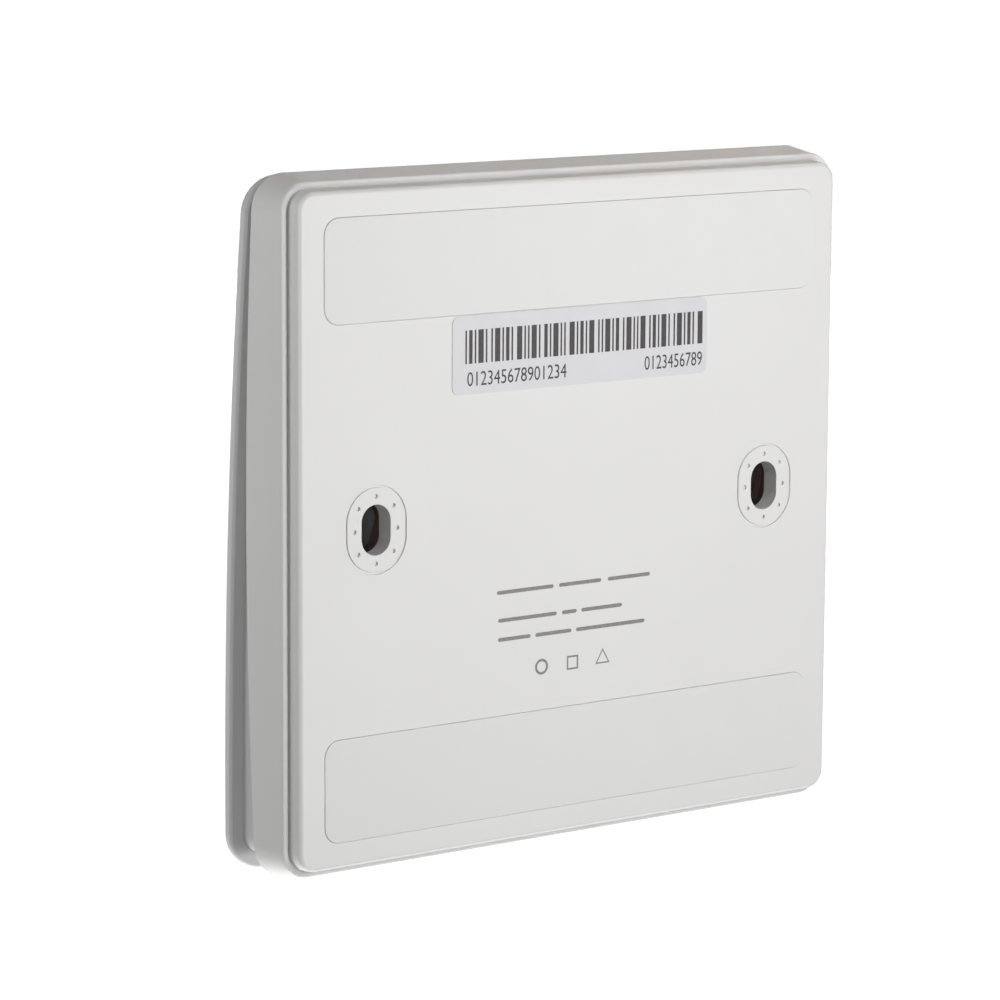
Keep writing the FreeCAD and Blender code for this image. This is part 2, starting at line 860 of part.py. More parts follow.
def pole_plate(side):
    near = arm_pivot_depth + side * magnet_thick / 2
    low, high = sorted((near, near + side * pole_thick))
    return block(-magnet_width / 2, magnet_width / 2, low, high, hub_top, pole_top)


def lever_rear(z):
    # depth of the lever's rear face at a height between hub and paddle
    share = (hub_bottom - z) / (hub_bottom - paddle_root)
    return arm_pivot_depth + paddle_rise * share - arm_thick / 2


def leaf_spring():
    # flat base on the lower crossbar, with a tongue that rises to the lever
    base = block(
        -spring_base_width / 2,
        spring_base_width / 2,
        lower_bar_front,
        lower_bar_front + spring_thick,
        lower_bar_bottom,
        lower_bar_top,
    )
    tip = paddle_root + spring_tip_length
    tip_front = lever_rear(tip) - spring_tip_gap
    bend = lower_bar_bottom - spring_flat
    front = lower_bar_front + spring_thick
    tongue = side_profile(
        [
            (lower_bar_top, front),
            (bend, front),
            (tip, tip_front),
            (tip, tip_front - spring_thick),
            (bend, lower_bar_front),
            (lower_bar_top, lower_bar_front),
        ],
        spring_width / 2,
    )
    middle = (lower_bar_top + lower_bar_bottom) / 2
    holes = [
        peg(small_screw_shank + screw_clearance, x, middle, lower_bar_front, lower_bar_front + spring_thick)
        for x in both_sides(spring_screw_spacing / 2)
    ]
    return base.fuse(tongue).cut(Part.makeCompound(holes))


def spring_screws():
    middle = (lower_bar_top + lower_bar_bottom) / 2
    size = (small_screw_head, small_screw_head_radius, small_screw_shank)
    seat = lower_bar_front + spring_thick
    return [screw(x, middle, seat, floor_thick, *size) for x in both_sides(spring_screw_spacing / 2)]


def save(name, shape):
    # writes one node, a single solid or a group of like solids
    solids = shape if isinstance(shape, list) else [shape]
    solids = [piece for solid in solids for piece in solid.removeSplitter().Solids]
    whole = solids[0] if len(solids) == 1 else Part.makeCompound(solids)
    whole.exportStep("parts/" + name + ".step")


os.makedirs("parts", exist_ok=True)
save("base_housing", base_housing())
save("adhesive_pad_upper", adhesive_pad(1))
save("adhesive_pad_lower", adhesive_pad(-1))
save("code_label", code_label())
save("rocker_cap", rocker_cap())
save("chassis_frame", chassis_frame())
save("chassis_screws", chassis_screws())
save("bumper_pads", bumper_pads())
save("circuit_board", circuit_board())
save("board_screws", board_screws())
save("radio_chip", radio_chip())
save("storage_capacitor", storage_capacitor())
save("rectifier_diodes", rectifier_diodes())
save("power_inductor", power_inductor())
save("timing_crystal", timing_crystal())
save("wire_antenna", wire_antenna())
save("generator_frame", generator_frame())
save("generator_screws", generator_screws())
save("iron_core", iron_core())
save("coil_bobbin", coil_bobbin())
save("coil_winding", coil_winding())
save("coil_leads", coil_leads())
save("arm_pivot_pin", arm_pivot_pin())
save("swing_arm", swing_arm())
save("magnet", magnet())
save("pole_plate_front", pole_plate(1))
save("pole_plate_rear", pole_plate(-1))
save("leaf_spring", leaf_spring())
save("spring_screws", spring_screws())
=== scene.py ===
import math

import bmesh
import bpy
import numpy as np
from mathutils import Matrix, Vector


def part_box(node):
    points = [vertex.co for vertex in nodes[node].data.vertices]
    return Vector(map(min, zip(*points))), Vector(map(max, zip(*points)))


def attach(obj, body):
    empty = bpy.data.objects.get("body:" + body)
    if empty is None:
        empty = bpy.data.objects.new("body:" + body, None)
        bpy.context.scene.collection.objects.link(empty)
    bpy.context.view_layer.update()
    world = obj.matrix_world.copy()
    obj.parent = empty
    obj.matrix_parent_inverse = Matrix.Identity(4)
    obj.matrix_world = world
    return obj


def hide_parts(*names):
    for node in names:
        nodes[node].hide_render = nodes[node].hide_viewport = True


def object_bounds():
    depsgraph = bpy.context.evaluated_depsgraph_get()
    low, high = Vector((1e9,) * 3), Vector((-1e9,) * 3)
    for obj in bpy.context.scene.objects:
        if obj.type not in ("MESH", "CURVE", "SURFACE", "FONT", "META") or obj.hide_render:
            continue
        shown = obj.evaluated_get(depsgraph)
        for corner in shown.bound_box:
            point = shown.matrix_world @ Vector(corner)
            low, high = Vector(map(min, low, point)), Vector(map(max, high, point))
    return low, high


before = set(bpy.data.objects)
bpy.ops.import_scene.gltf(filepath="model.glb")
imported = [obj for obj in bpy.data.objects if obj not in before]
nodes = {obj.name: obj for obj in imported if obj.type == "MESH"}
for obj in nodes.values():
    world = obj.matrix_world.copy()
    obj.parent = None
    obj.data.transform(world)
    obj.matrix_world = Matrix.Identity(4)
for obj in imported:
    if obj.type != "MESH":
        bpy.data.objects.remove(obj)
cad_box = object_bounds()

MM = 0.001

# Pads and ink, in millimetres
PAD_CORNER = 2.0
PAD_SPREAD = 0.07
PAD_RIM = 0.12
PAD_SEAT_INSET = 0.05
PAD_SINK = 0.02
PAD_WAVE_U = 9.0
PAD_WAVE_V = 4.0
PAD_WAVE_START = 0.6
PAD_END = 5.0
PAD_RIM_STEPS = 6
PAD_SEAT_STEPS = 8
PAD_FACE_STEPS = 16
PAD_CORNER_STEPS = 9
PAD_RUN_STEPS = 23
INK = 0.015

# Radii in millimetres that sharp edges are shaded with, on the shell as (distance, radius) stops
SHELL_EDGES = ((39.8, 0.1), (40.3, 0.4), (41.1, 0.4), (41.2, 0.95), (41.75, 0.95), (41.95, 0.3), (43.0, 0.2))
ROCKER_EDGES = 0.2
EDGE_SAMPLES = 8

# Panel coordinates: u runs to the right and v up as the rear panel is looked at, both in millimetres from the
# middle of the panel, and out is the height above the panel face.


def panel_points(u, v, out):
    """Points of the model in metres from panel coordinates: x is minus u, y is the height out of the
    panel and z is v."""
    u, v, out = np.broadcast_arrays(u, v, out)
    return np.stack((-u, out, v), axis=-1) * MM


def add_object(name, data):
    """A new object at the origin that holds a mesh, light, camera or outline."""
    thing = bpy.data.objects.new(name, data)
    bpy.context.scene.collection.objects.link(thing)
    return thing


def make_piece(name, points, faces, smooth=False):
    """A mesh object at the origin from an array of points and a list of faces, with doubles merged and
    its normals turned outwards."""
    mesh = bpy.data.meshes.new(name)
    mesh.from_pydata(points.reshape(-1, 3).tolist(), [], faces)
    shell = bmesh.new()
    shell.from_mesh(mesh)
    bmesh.ops.remove_doubles(shell, verts=shell.verts, dist=1e-7)
    bmesh.ops.recalc_face_normals(shell, faces=shell.faces)
    shell.to_mesh(mesh)
    shell.free()
    mesh.polygons.foreach_set("use_smooth", np.full(len(mesh.polygons), smooth))
    mesh.update()
    return add_object(name, mesh)


def ring_quads(rings, count, closed=False):
    """Four-cornered faces between neighbouring rings of a grid with the given number of rings and of
    points to a ring. Each face joins point j and j+1 of ring i to the same points of ring i+1, and if
    closed, the last ring joins the first."""
    ring = np.arange(rings if closed else rings - 1)[:, None] * count
    after = (ring + count) % (rings * count)
    point = np.arange(count)[None, :]
    beside = (point + 1) % count
    corners = np.broadcast_arrays(ring + point, ring + beside, after + beside, after + point)
    return np.stack(corners, axis=-1).reshape(-1, 4).tolist()


def rounded_outline(half_u, half_v, corner, turns, runs):
    """Outline of a rounded rectangle, anticlockwise: four quarter circles about the corner centres, each
    in equal angles, and between two quarters a straight run cut in equal parts. Sizes may be arrays, one
    outline for each."""
    half_u, half_v, corner = (np.asarray(a, float)[..., None, None] for a in (half_u, half_v, corner))
    angle = np.linspace(0, np.pi / 2, turns)[None, :] + np.arange(4)[:, None] * np.pi / 2
    side_u = np.array([1, -1, -1, 1])[:, None]
    side_v = np.array([1, 1, -1, -1])[:, None]
    u = side_u * (half_u - corner) + corner * np.cos(angle)
    v = side_v * (half_v - corner) + corner * np.sin(angle)
    share = np.arange(1, runs + 1) / (runs + 1)
    run_u = u[..., -1:] + (np.roll(u, -1, axis=-2)[..., :1] - u[..., -1:]) * share
    run_v = v[..., -1:] + (np.roll(v, -1, axis=-2)[..., :1] - v[..., -1:]) * share
    u = np.concatenate((u, run_u), axis=-1)
    v = np.concatenate((v, run_v), axis=-1)
    return u.reshape(*u.shape[:-2], -1), v.reshape(*v.shape[:-2], -1)


def foam_pad(name, node):
    """Die-cut foam pad: a rounded rectangle drawn in step by step along a profile. The profile goes out
    under the pad to its side, up the side, over the rim on a quarter circle and in over the face to the
    middle line. The face lies in long waves, a sine across times a cosine up, and it is lowest towards
    the ends, where the die pressed it."""
    low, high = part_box(node)
    half_u = (high.x - low.x) / 2 / MM + PAD_SPREAD
    half_v = (high.z - low.z) / 2 / MM + PAD_SPREAD
    middle_u = -(high.x + low.x) / 2 / MM
    middle_v = (high.z + low.z) / 2 / MM
    seat, face = low.y / MM, high.y / MM
    shoulder = face - PAD_RIM
    swing = np.linspace(0, np.pi / 2, PAD_RIM_STEPS)
    under = np.linspace(half_v, PAD_SEAT_INSET, PAD_SEAT_STEPS)
    over = np.linspace(PAD_RIM, half_v, PAD_FACE_STEPS)[1:]
    inset = np.concatenate((under, PAD_RIM * (1 - np.cos(swing)), over))
    rise = shoulder + PAD_RIM * np.sin(swing)
    out = np.concatenate((np.full_like(under, seat), rise, np.full_like(over, face)))
    corner = np.maximum(PAD_CORNER + PAD_SPREAD - inset, 0.0)
    u, v = rounded_outline(half_u - inset, half_v - inset, corner, PAD_CORNER_STEPS, PAD_RUN_STEPS)
    wave = 0.5 + 0.5 * np.sin(u / PAD_WAVE_U + PAD_WAVE_START) * np.cos(v / PAD_WAVE_V)
    ends = np.clip((np.abs(u) - half_u + PAD_END) / PAD_END, 0, 1) ** 2
    sunk = np.where(out[:, None] > shoulder, PAD_SINK * wave + PAD_SINK * ends, 0)
    points = panel_points(u + middle_u, v + middle_v, out[:, None] - sunk)
    rings, count = u.shape
    return make_piece(name, points, ring_quads(rings, count), smooth=True)


def ink_bars(name, u, v, half_u, half_v, rest, corner_share):
    """Printed bars as thin closed slabs: for every bar a rounded rectangle at the height it rests on and
    the same outline, drawn in by the ink's thickness, at the ink's top; sides between the two and a cap
    on each."""
    u, v, half_u, half_v = np.broadcast_arrays(u, v, half_u, half_v)
    draw_in = np.array([0.0, INK])
    size_u = half_u[:, None] - draw_in
    size_v = half_v[:, None] - draw_in
    edge_u, edge_v = rounded_outline(size_u, size_v, corner_share * np.minimum(size_u, size_v), 3, 0)
    out = rest + draw_in[None, :, None]
    points = panel_points(edge_u + u[:, None, None], edge_v + v[:, None, None], out)
    bars, levels, count = edge_u.shape
    first = np.arange(bars)[:, None] * levels * count
    caps = np.concatenate((first + count + np.arange(count), first + np.arange(count)[::-1])).tolist()
    side = np.array(ring_quads(levels, count))
    sides = (side[None] + first[:, :, None]).reshape(-1, 4).tolist()
    return make_piece(name, points, sides + caps)


def ink_outline(name, sides, middle_u, middle_v, radius, line, start):
    """An outlined figure with the given number of sides: the section of its line, up the outside, over
    the ink's top and down the inside, carried round the middle in equal angles as one closed band."""
    angle = start + np.arange(sides) * 2 * np.pi / sides
    band = np.array([radius, radius - INK, radius - line + INK, radius - line])[:, None]
    out = np.array([0.0, INK, INK, 0.0])[:, None]
    points = panel_points(middle_u + band * np.cos(angle), middle_v + band * np.sin(angle), out)
    return make_piece(name, points, ring_quads(len(band), sides, closed=True))


def ink_digits(name, words, left, right, foot, height, rest):
    """A row of plain digits: their outline as a thin slab, its corners then stretched so that the row
    fills the width from left to right and the height above its foot line."""
    outline = bpy.data.curves.new(name + "_outline", "FONT")
    outline.body = words
    outline.extrude = 0.5
    outline.resolution_u = 3
    holder = add_object(name + "_holder", outline)
    bpy.context.view_layer.update()
    mesh = bpy.data.meshes.new_from_object(holder.evaluated_get(bpy.context.evaluated_depsgraph_get()))
    bpy.data.objects.remove(holder)
    bpy.data.curves.remove(outline)
    flat = np.empty(len(mesh.vertices) * 3, np.float32)
    mesh.vertices.foreach_get("co", flat)
    flat = flat.reshape(-1, 3)
    share = (flat - flat.min(0)) / np.ptp(flat, axis=0)
    u = left + share[:, 0] * (right - left)
    v = foot + share[:, 1] * height
    mesh.vertices.foreach_set("co", panel_points(u, v, rest + share[:, 2] * INK).reshape(-1))
    mesh.name = name
    mesh.update()
    return add_object(name, mesh)


# Finishes. Lengths are in metres here, the model's own unit, apart from the edge radii above.


def start_finish(name):
    """An empty node material with its shader, and Object coordinates to drive patterns from."""
    finish = bpy.data.materials.new(name)
    finish.use_nodes = True
    tree = finish.node_tree
    shader = tree.nodes["Principled BSDF"]
    place = tree.nodes.new("ShaderNodeTexCoord")
    return finish, tree, shader, place.outputs["Object"]


def noise(tree, place, size, detail=3.0, stretch=(1, 1, 1)):
    """Noise whose blobs are about the given size, drawn out along an axis by a stretch above one."""
    spread = tree.nodes.new("ShaderNodeMapping")
    spread.inputs["Scale"].default_value = [1 / (size * s) for s in stretch]
    tree.links.new(place, spread.inputs["Vector"])
    cloud = tree.nodes.new("ShaderNodeTexNoise")
    cloud.inputs["Scale"].default_value = 1.0
    cloud.inputs["Detail"].default_value = detail
    tree.links.new(spread.outputs["Vector"], cloud.inputs["Vector"])
    return cloud.outputs["Fac"]


def ramp(tree, factor, stops):
    """Colour ramp through (place, colour) stops."""
    node = tree.nodes.new("ShaderNodeValToRGB")
    elements = node.color_ramp.elements
    elements[0].position, elements[0].color = stops[0][0], (*stops[0][1], 1)
    elements[1].position, elements[1].color = stops[-1][0], (*stops[-1][1], 1)
    for place, colour in stops[1:-1]:
        elements.new(place).color = (*colour, 1)
    tree.links.new(factor, node.inputs["Fac"])
    return node.outputs["Color"]


def two_tones(tree, shader, factor, dark, light, first=0.3, last=0.7):
    """Base colour that runs from a dark to a light tone between two values of a pattern."""
    tree.links.new(ramp(tree, factor, [(first, dark), (last, light)]), shader.inputs["Base Color"])


def spread_roughness(tree, shader, factor, low, high):
    """Roughness that runs from low to high over the middle of a noise."""
    node = tree.nodes.new("ShaderNodeMapRange")
    node.inputs["From Min"].default_value = 0.3
    node.inputs["From Max"].default_value = 0.7
    node.inputs["To Min"].default_value = low
    node.inputs["To Max"].default_value = high
    tree.links.new(factor, node.inputs["Value"])
    tree.links.new(node.outputs["Result"], shader.inputs["Roughness"])


def relief(tree, shader, height, depth, below=None):
    """Raised texture of the given depth, laid over another one if given."""
    node = tree.nodes.new("ShaderNodeBump")
    node.inputs["Distance"].default_value = depth
    node.inputs["Strength"].default_value = 1.0
    tree.links.new(height, node.inputs["Height"])
    if below is not None:
        tree.links.new(below, node.inputs["Normal"])
    tree.links.new(node.outputs["Normal"], shader.inputs["Normal"])
    return node.outputs["Normal"]


def rounded_edges(tree, place, radii):
    """Normals of edges shaded as if rounded, by one radius or by one that changes outwards. Then the
    larger of the distances from the middle plane and from mid height tells panel, step and walls apart,
    and the radii are stops of it, all in millimetres."""
    bevel = tree.nodes.new("ShaderNodeBevel")
    bevel.samples = EDGE_SAMPLES
    if np.isscalar(radii):
        bevel.inputs["Radius"].default_value = radii * MM
        return bevel.outputs["Normal"]
    split = tree.nodes.new("ShaderNodeSeparateXYZ")
    tree.links.new(place, split.inputs["Vector"])
    reach = tree.nodes.new("ShaderNodeMath")
    reach.operation = "MAXIMUM"
    for k, axis in enumerate("XZ"):
        size = tree.nodes.new("ShaderNodeMath")
        size.operation = "ABSOLUTE"
        tree.links.new(split.outputs[axis], size.inputs[0])
        tree.links.new(size.outputs["Value"], reach.inputs[k])
    first, last = radii[0][0], radii[-1][0]
    span = tree.nodes.new("ShaderNodeMapRange")
    span.inputs["From Min"].default_value = first * MM
    span.inputs["From Max"].default_value = last * MM
    tree.links.new(reach.outputs["Value"], span.inputs["Value"])
    stops = [((at - first) / (last - first), (radius,) * 3) for at, radius in radii]
    length = tree.nodes.new("ShaderNodeMapRange")
    length.inputs["To Max"].default_value = MM
    tree.links.new(ramp(tree, span.outputs["Result"], stops), length.inputs["Value"])
    tree.links.new(length.outputs["Result"], bevel.inputs["Radius"])
    return bevel.outputs["Normal"]


def moulded_plastic(name, dark, light, rough, grain=0.00022, depth=0.000004, cloud=0.016, edges=None):
    """Moulded plastic: two close tones in broad clouds, and a spark-eroded grain that lifts the surface
    and spreads its gloss. With edge radii, sharp edges are shaded as if rounded."""
    finish, tree, shader, place = start_finish(name)
    clouds = noise(tree, place, cloud, 4.0)
    grains = noise(tree, place, grain, 2.0)
    two_tones(tree, shader, clouds, dark, light)
    spread_roughness(tree, shader, grains, rough - 0.05, rough + 0.05)
    relief(tree, shader, grains, depth, rounded_edges(tree, place, edges) if edges else None)
    return finish


def foam(name, dark, light, cell=0.00035, swell=0.006):
    """Closed-cell foam: small round hollows over a slow swell in tone and relief, dull all over."""
    finish, tree, shader, place = start_finish(name)
    cells = tree.nodes.new("ShaderNodeTexVoronoi")
    cells.inputs["Scale"].default_value = 1 / cell
    tree.links.new(place, cells.inputs["Vector"])
    swells = noise(tree, place, swell, 3.0)
    two_tones(tree, shader, swells, dark, light)
    spread_roughness(tree, shader, swells, 0.62, 0.74)
    lifted = relief(tree, shader, swells, 0.00002)
    relief(tree, shader, cells.outputs["Distance"], 0.000006, lifted)
    return finish


def paper(name, dark, light, fibre=0.0001, cloud=0.004):
    """Coated label paper: fine fibres along the label in relief, and faint clouds in tone and in its
    half-dull gloss."""
    finish, tree, shader, place = start_finish(name)
    fibres = noise(tree, place, fibre, 3.0, (6, 1, 1))
    clouds = noise(tree, place, cloud, 4.0)
    two_tones(tree, shader, clouds, dark, light)
    spread_roughness(tree, shader, clouds, 0.4, 0.5)
    relief(tree, shader, fibres, 0.000002)
    return finish


def ink(name, dark, light, patch=0.0004):
    """Printing ink: a dark tone that thins to a lighter one in small patches, with a trace of relief."""
    finish, tree, shader, place = start_finish(name)
    patches = noise(tree, place, patch, 4.0)
    two_tones(tree, shader, patches, dark, light, 0.35, 0.75)
    spread_roughness(tree, shader, patches, 0.5, 0.65)
    relief(tree, shader, patches, 0.000001)
    return finish


def drawn_metal(name, dark, light, rough, stretch=(1, 1, 12), streak=0.00018, depth=0.000002):
    """Drawn or rolled metal: streaks along the direction it was drawn in, in tone, gloss and relief."""
    finish, tree, shader, place = start_finish(name)
    shader.inputs["Metallic"].default_value = 1.0
    streaks = noise(tree, place, streak, 4.0, stretch)
    two_tones(tree, shader, streaks, dark, light)
    spread_roughness(tree, shader, streaks, rough - 0.08, rough + 0.1)
    relief(tree, shader, streaks, depth)
    return finish


def wound_wire(name, dark, light, pitch, patch=0.0008):
    """Enamelled wire laid turn by turn: round bands of one wire's pitch, side by side along x, and
    the grooves between them darkened with painted shade."""
    finish, tree, shader, place = start_finish(name)
    shader.inputs["Metallic"].default_value = 0.85
    bands = tree.nodes.new("ShaderNodeTexWave")
    bands.bands_direction = "X"
    bands.wave_profile = "SIN"
    bands.inputs["Scale"].default_value = math.pi / 10 / pitch
    bands.inputs["Distortion"].default_value = 0.6
    bands.inputs["Detail"].default_value = 1.0
    tree.links.new(place, bands.inputs["Vector"])
    # The dark tone in the grooves between turns is painted shade, not a colour of the wire.
    two_tones(tree, shader, bands.outputs["Fac"], dark, light, 0.05, 0.6)
    spread_roughness(tree, shader, noise(tree, place, patch), 0.28, 0.4)
    relief(tree, shader, bands.outputs["Fac"], 0.00004)
    return finish


def lacquered_board(name, mask, track, laminate, mesh_width=0.0052, mesh_height=0.0017, track_width=0.00018):
    """Circuit board: green solder mask over a right-angled net of copper tracks that shows through as a
    lighter green and a small lift, with the laminate's weave in its gloss."""
    finish, tree, shader, place = start_finish(name)
    upright = tree.nodes.new("ShaderNodeMapping")
    upright.inputs["Rotation"].default_value = (math.pi / 2, 0, 0)
    tree.links.new(place, upright.inputs["Vector"])
    net = tree.nodes.new("ShaderNodeTexBrick")
    net.inputs["Color1"].default_value = (*mask, 1)
    net.inputs["Color2"].default_value = (*laminate, 1)
    net.inputs["Mortar"].default_value = (*track, 1)
    net.inputs["Scale"].default_value = 1.0
    net.inputs["Mortar Size"].default_value = track_width
    net.inputs["Brick Width"].default_value = mesh_width
    net.inputs["Row Height"].default_value = mesh_height
    tree.links.new(upright.outputs["Vector"], net.inputs["Vector"])
    weave = noise(tree, place, 0.0003, 2.0, (4, 1, 1))
    tree.links.new(net.outputs["Color"], shader.inputs["Base Color"])
    spread_roughness(tree, shader, weave, 0.25, 0.38)
    relief(tree, shader, net.outputs["Fac"], 0.00002)
    return finish


shell_white = moulded_plastic(
    "moulded_white_shell", (0.752, 0.749, 0.742), (0.768, 0.765, 0.758), 0.5, edges=SHELL_EDGES
)
rocker_white = moulded_plastic(
    "satin_white_rocker",
    (0.64, 0.64, 0.643),
    (0.655, 0.655, 0.658),
    0.4,
    0.0003,
    0.000003,
    edges=ROCKER_EDGES,
)
foam_white = foam("white_closed_cell_foam", (0.750, 0.749, 0.743), (0.767, 0.766, 0.76))
label_paper = paper("coated_label_paper", (0.672, 0.668, 0.685), (0.695, 0.691, 0.708))
label_ink = ink("label_printing_ink", (0.03, 0.027, 0.027), (0.055, 0.05, 0.05))
panel_ink = ink("grey_pad_printing_ink", (0.19, 0.18, 0.18), (0.28, 0.27, 0.27))
chassis_dark = moulded_plastic("dark_chassis_plastic", (0.25, 0.162, 0.138), (0.28, 0.184, 0.157), 0.55)
bumper_rubber = moulded_plastic(
    "soft_black_rubber", (0.015, 0.015, 0.015), (0.03, 0.03, 0.03), 0.75, 0.0004, 0.00001
)
chip_black = moulded_plastic(
    "moulded_black_epoxy", (0.012, 0.012, 0.013), (0.02, 0.02, 0.021), 0.6, 0.00012, 0.000003
)
capacitor_yellow = moulded_plastic(
    "yellow_capacitor_epoxy", (0.62, 0.36, 0.06), (0.70, 0.43, 0.09), 0.42, cloud=0.003
)
inductor_grey = moulded_plastic(
    "pressed_ferrite_grey", (0.06, 0.06, 0.065), (0.09, 0.09, 0.095), 0.65, 0.0001, 0.000006
)
frame_grey = moulded_plastic("grey_generator_plastic", (0.055, 0.055, 0.06), (0.075, 0.075, 0.08), 0.5)
bobbin_natural = moulded_plastic("natural_nylon_bobbin", (0.66, 0.62, 0.52), (0.72, 0.69, 0.60), 0.42)
board_green = lacquered_board(
    "green_lacquered_board", (0.012, 0.085, 0.03), (0.03, 0.15, 0.055), (0.014, 0.095, 0.034)
)
# The dark tone of the wound turns is painted shade in the grooves between them.
winding_copper = wound_wire("enamelled_copper_turns", (0.16, 0.05, 0.02), (0.62, 0.26, 0.10), 0.00022)
steel_screw = drawn_metal("zinc_plated_screw", (0.42, 0.42, 0.44), (0.60, 0.60, 0.62), 0.32, (1, 1, 1))
crystal_can = drawn_metal("plated_crystal_can", (0.52, 0.52, 0.50), (0.66, 0.66, 0.64), 0.3, (10, 1, 1))
antenna_wire = drawn_metal("bare_copper_wire", (0.55, 0.26, 0.13), (0.72, 0.40, 0.22), 0.34, (8, 1, 1))
core_iron = drawn_metal("soft_iron_core", (0.22, 0.21, 0.20), (0.34, 0.33, 0.32), 0.5, (10, 1, 1))
pin_steel = drawn_metal("ground_steel_pin", (0.50, 0.50, 0.51), (0.66, 0.66, 0.67), 0.24, (12, 1, 1))
magnet_nickel = drawn_metal("nickel_plated_magnet", (0.58, 0.56, 0.53), (0.70, 0.68, 0.65), 0.2, (2, 2, 2))
pole_steel = drawn_metal("stamped_pole_steel", (0.40, 0.40, 0.40), (0.54, 0.54, 0.54), 0.4, (12, 1, 1))
spring_steel = drawn_metal("rolled_spring_strip", (0.46, 0.46, 0.45), (0.62, 0.62, 0.61), 0.28)

node_finish = {
    "base_housing": shell_white,
    "adhesive_pad_upper": foam_white,
    "adhesive_pad_lower": foam_white,
    "code_label": label_paper,
    "rocker_cap": rocker_white,
    "chassis_frame": chassis_dark,
    "chassis_screws": steel_screw,
    "bumper_pads": bumper_rubber,
    "circuit_board": board_green,
    "board_screws": steel_screw,
    "radio_chip": chip_black,
    "storage_capacitor": capacitor_yellow,
    "rectifier_diodes": chip_black,
    "power_inductor": inductor_grey,
    "timing_crystal": crystal_can,
    "wire_antenna": antenna_wire,
    "generator_frame": frame_grey,
    "generator_screws": steel_screw,
    "coil_bobbin": bobbin_natural,
    "coil_winding": winding_copper,
    "coil_leads": winding_copper,
    "iron_core": core_iron,
    "swing_arm": frame_grey,
    "arm_pivot_pin": pin_steel,
    "magnet": magnet_nickel,
    "pole_plate_front": pole_steel,
    "pole_plate_rear": pole_steel,
    "leaf_spring": spring_steel,
    "spring_screws": steel_screw,
}
for node, finish in node_finish.items():
    nodes[node].data.materials.clear()
    nodes[node].data.materials.append(finish)


def settle(piece, finish):
    """Gives a piece its finish and slot, and lets it move with the housing."""
    piece.data.materials.clear()
    piece.data.materials.append(finish)
    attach(piece, "housing")


for node in ("adhesive_pad_upper", "adhesive_pad_lower"):
    pad = foam_pad("foam_" + node, node)
    settle(pad, foam_white)
    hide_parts(node)

label_low, label_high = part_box("code_label")
label_left = -label_high.x / MM
label_right = -label_low.x / MM
label_foot = label_low.z / MM
label_face = label_high.y / MM

# The bar field: the widths of bars and gaps follow the remainder of a square, so no code is spelled out.
bar_count = 46
bar_margin_left = 1.9
bar_margin_right = 0.7
bar_middle = 5.8
bar_half_height = 2.05
bar_trim = 0.015
bar_corner_share = 0.1
step = np.arange(bar_count)
bar_width = 1.0 + (step * step * 3 + step) % 7 % 3
gap_width = 1.0 + (step * step + 2 * step) % 5 % 3
gap_width[-1] = 0
ends = np.cumsum(bar_width + gap_width)
module = (label_right - label_left - bar_margin_left - bar_margin_right) / ends[-1]
bar_left = label_left + bar_margin_left + (ends - bar_width - gap_width) * module
bars = ink_bars(
    "label_bars",
    bar_left + bar_width * module / 2,
    label_foot + bar_middle,
    bar_width * module / 2 - bar_trim,
    bar_half_height,
    label_face,
    bar_corner_share,
)
settle(bars, label_ink)

digit_foot = label_foot + 1.0
digit_height = 1.75
for name, words, left, right in (
    ("label_digits", "012345678901234", label_left + 2.2, label_left + 17.2),
    ("label_short_digits", "0123456789", label_right - 9.9, label_right - 0.75),
):
    digits = ink_digits(name, words, left, right, digit_foot, digit_height, label_face)
    settle(digits, label_ink)

# Plain dashes, each given by its two ends after the height of its row, stand in three rows below the
# middle of the panel, with three bare figures under them.
dash_rows = (
    (-9.6, (-12.1, -3.4), (-2.6, 4.0), (5.0, 11.7)),
    (-13.1, (-11.9, -2.9), (-2.1, 0.2), (0.9, 7.3)),
    (-15.5, (-11.9, -6.9), (-6.2, -0.6), (0.1, 10.9)),
)
dash_half_height = 0.24
dash_corner_share = 0.95
dash_height = np.repeat([row[0] for row in dash_rows], 3)
dash_left, dash_right = np.array([row[1:] for row in dash_rows]).reshape(-1, 2).T
dashes = ink_bars(
    "panel_dashes",
    (dash_left + dash_right) / 2,
    dash_height,
    (dash_right - dash_left) / 2,
    dash_half_height,
    0.0,
    dash_corner_share,
)
settle(dashes, panel_ink)

figure_height = -19.6
figure_line = 0.32
for name, sides, middle, radius, start in (
    ("panel_ring_mark", 40, -5.2, 1.0, 0.0),
    ("panel_square_mark", 4, -0.4, 1.25, math.pi / 4),
    ("panel_triangle_mark", 3, 4.3, 1.3, math.pi / 2),
):
    figure = ink_outline(name, sides, middle, figure_height, radius, figure_line, start)
    settle(figure, panel_ink)

# Stage: a pale glowing floor, a round backdrop, an even surround and seven soft lights. Lengths are in
# metres from here on.


def stage_piece(name, points, faces, finish):
    """A floor or backdrop from an array of points and a list of faces. It gives the object no diffuse
    light and casts no shadow."""
    mesh = bpy.data.meshes.new(name)
    mesh.from_pydata(points.tolist(), [], faces)
    mesh.materials.append(finish)
    holder = add_object(name, mesh)
    holder.visible_diffuse = False
    holder.visible_shadow = False
    return holder


floor_finish, floor_tree, floor_shader, floor_place = start_finish("pale_floor_paint")
floor_clouds = noise(floor_tree, floor_place, 0.4)
two_tones(floor_tree, floor_shader, floor_clouds, (0.30, 0.30, 0.30), (0.32, 0.32, 0.32))
floor_shader.inputs["Roughness"].default_value = 0.9
floor_shader.inputs["Specular IOR Level"].default_value = 0.1
floor_shader.inputs["Emission Color"].default_value = (1, 1, 1, 1)
floor_shader.inputs["Emission Strength"].default_value = 1.0

floor_level = cad_box[0].z
floor_half = 6.0
floor_corners = np.array([[-1, -1], [1, -1], [1, 1], [-1, 1]]) * floor_half
floor_points = np.column_stack((floor_corners, np.full(4, floor_level)))
stage_piece("pale_floor", floor_points, [[0, 1, 2, 3]], floor_finish)

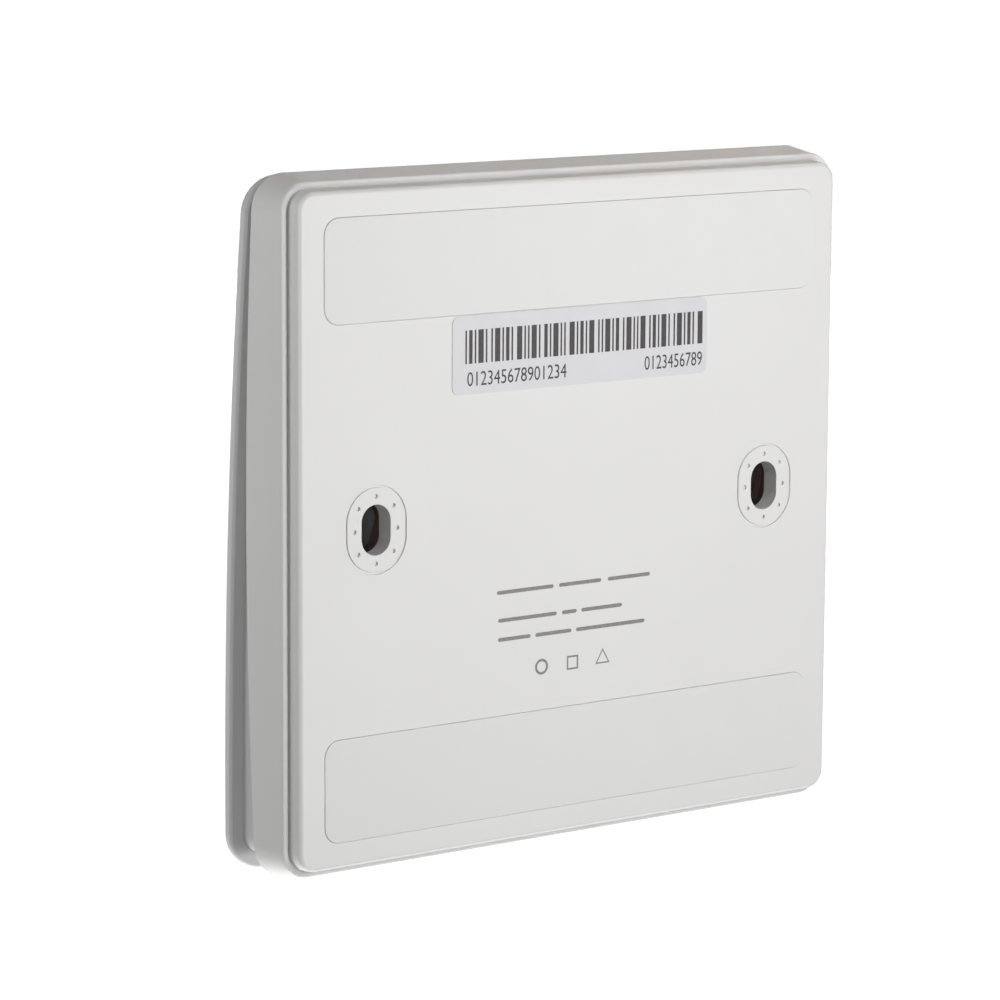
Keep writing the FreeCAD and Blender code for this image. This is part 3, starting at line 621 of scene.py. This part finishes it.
backdrop_radius = 5.5
backdrop_height = 3.0
backdrop_sides = 64
around = np.tile(np.arange(backdrop_sides) * 2 * np.pi / backdrop_sides, 2)
backdrop_level = np.repeat([floor_level, floor_level + backdrop_height], backdrop_sides)
backdrop_points = np.column_stack(
    (backdrop_radius * np.cos(around), backdrop_radius * np.sin(around), backdrop_level)
)
backdrop = stage_piece("pale_backdrop", backdrop_points, ring_quads(2, backdrop_sides), floor_finish)
backdrop.visible_glossy = False


def soft_light(name, place, size, power, tint=(1, 1, 1)):
    """A square soft light at a place, turned to the middle of the object."""
    lamp = bpy.data.lights.new(name, "AREA")
    lamp.shape = "SQUARE"
    lamp.size = size
    lamp.energy = power
    lamp.color = tint
    holder = add_object(name, lamp)
    holder.location = place
    holder.rotation_euler = (-Vector(place)).to_track_quat("-Z", "Y").to_euler()


soft_light("light_far_behind", (-0.36, 1.0, -0.45), 0.25, 3.6)
soft_light("light_behind_panel", (-0.03, 0.2, 0.068), 0.08, 0.243)
soft_light("light_above", (-0.195, -0.011, 0.2), 0.1, 0.122, (1, 0.77, 0.6))
soft_light("light_high_left", (0.25, -0.072, 0.112), 0.1, 0.197)
soft_light("light_from_below", (0.06, -0.17, -0.54), 0.3, 2.8)
soft_light("light_beside_camera", (0.458, 0.607, 0.127), 0.15, 0.47)
soft_light("light_before_rocker", (-0.35, -0.55, 0.0), 0.4, 3.2)

surround = bpy.data.worlds.new("even_surround")
surround.use_nodes = True
surround_light = surround.node_tree.nodes["Background"]
surround_light.inputs["Color"].default_value = (1, 1, 1, 1)
surround_light.inputs["Strength"].default_value = 0.15
bpy.context.scene.world = surround
bpy.context.scene.view_settings.view_transform = "Standard"

# Camera: a long lens behind the switch, left of the panel and a little above it, rolled by a trace.
eye = Vector((305.39, 405.12, 84.90)) * MM
aim = Vector((-1.50, -18.21, -1.77)) * MM
roll = math.radians(0.314)
lens = bpy.data.cameras.new("camera")
lens.lens = 149.35
lens.sensor_width = 36.0
lens.clip_start = 0.05
lens.clip_end = 50.0
camera = add_object("camera", lens)
facing = (aim - eye).to_track_quat("-Z", "Y").to_matrix().to_4x4()
camera.matrix_world = Matrix.Translation(eye) @ facing @ Matrix.Rotation(roll, 4, "Z")
bpy.context.scene.camera = camera
